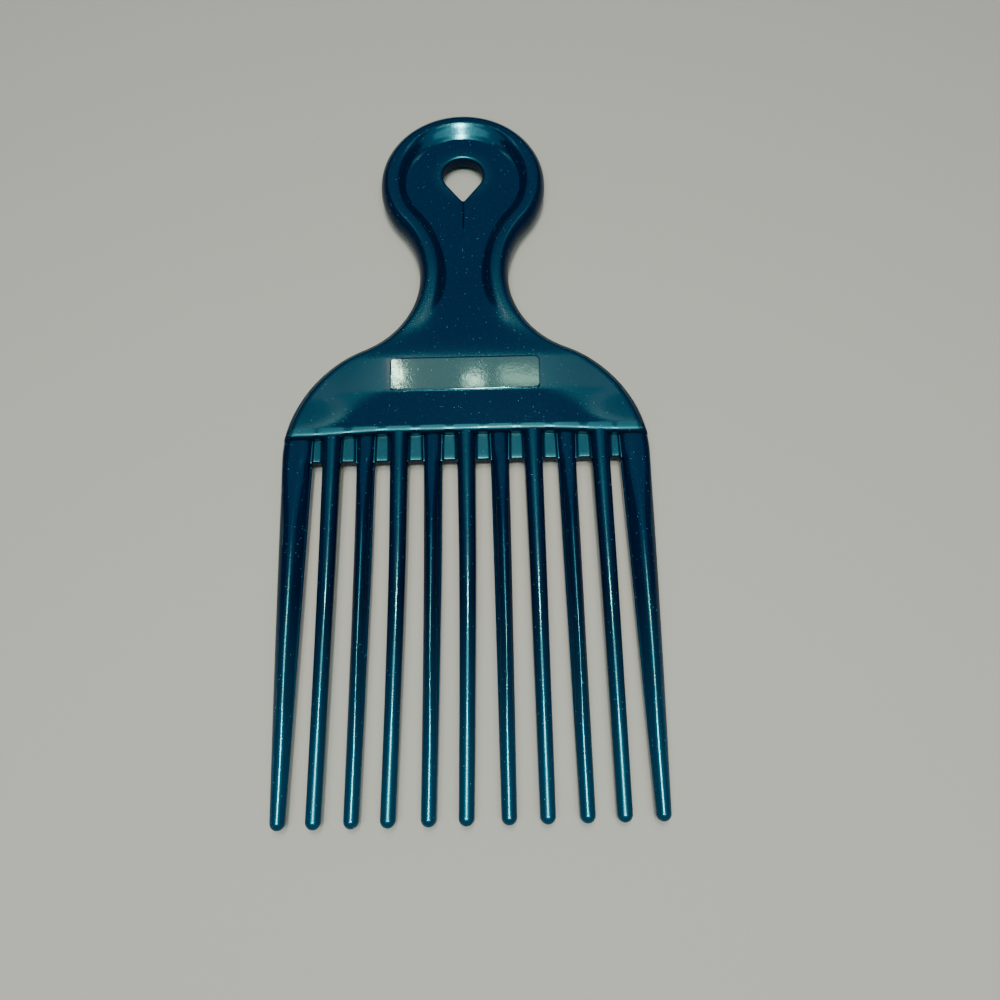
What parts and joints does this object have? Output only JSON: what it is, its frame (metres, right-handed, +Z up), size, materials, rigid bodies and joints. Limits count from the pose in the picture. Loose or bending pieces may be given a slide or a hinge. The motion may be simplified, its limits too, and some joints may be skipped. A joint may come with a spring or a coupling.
{
  "type": "afro pick",
  "caption": "Wide-toothed lifting comb in pearly plastic: long round-tipped teeth tied by thin webs, a thick shoulder with flat pads, and a round beaded handle with a hanging hole.",
  "frame": {"origin": "middle of the comb's bounding box, on the flat back pad that it rests on", "axes": "+Y from the tooth tips to the handle, +X across the comb, +Z up out of the front face"},
  "size_m": [0.0774, 0.1634, 0.0086],
  "materials": {
    "pearl_plastic": "moulded pearl teal with a fine metallic fleck, smooth gloss",
    "pad_plastic": "the same pearl teal, scuffed to a satin"
  },
  "bodies": {
    "root": {"handle_rim": "pearl_plastic", "handle_floor": "pearl_plastic", "neck": "pearl_plastic", "shoulder": "pearl_plastic", "pad_front": "pad_plastic", "pad_back": "pad_plastic", "web_01": "pearl_plastic", "web_02": "pearl_plastic", "web_03": "pearl_plastic", "web_04": "pearl_plastic", "web_05": "pearl_plastic", "web_06": "pearl_plastic", "web_07": "pearl_plastic", "web_08": "pearl_plastic", "web_09": "pearl_plastic", "web_10": "pearl_plastic", "tooth_01": "pearl_plastic", "tooth_02": "pearl_plastic", "tooth_03": "pearl_plastic", "tooth_04": "pearl_plastic", "tooth_05": "pearl_plastic", "tooth_06": "pearl_plastic", "tooth_07": "pearl_plastic", "tooth_08": "pearl_plastic", "tooth_09": "pearl_plastic", "tooth_10": "pearl_plastic", "tooth_11": "pearl_plastic"}
  },
  "joints": []
}
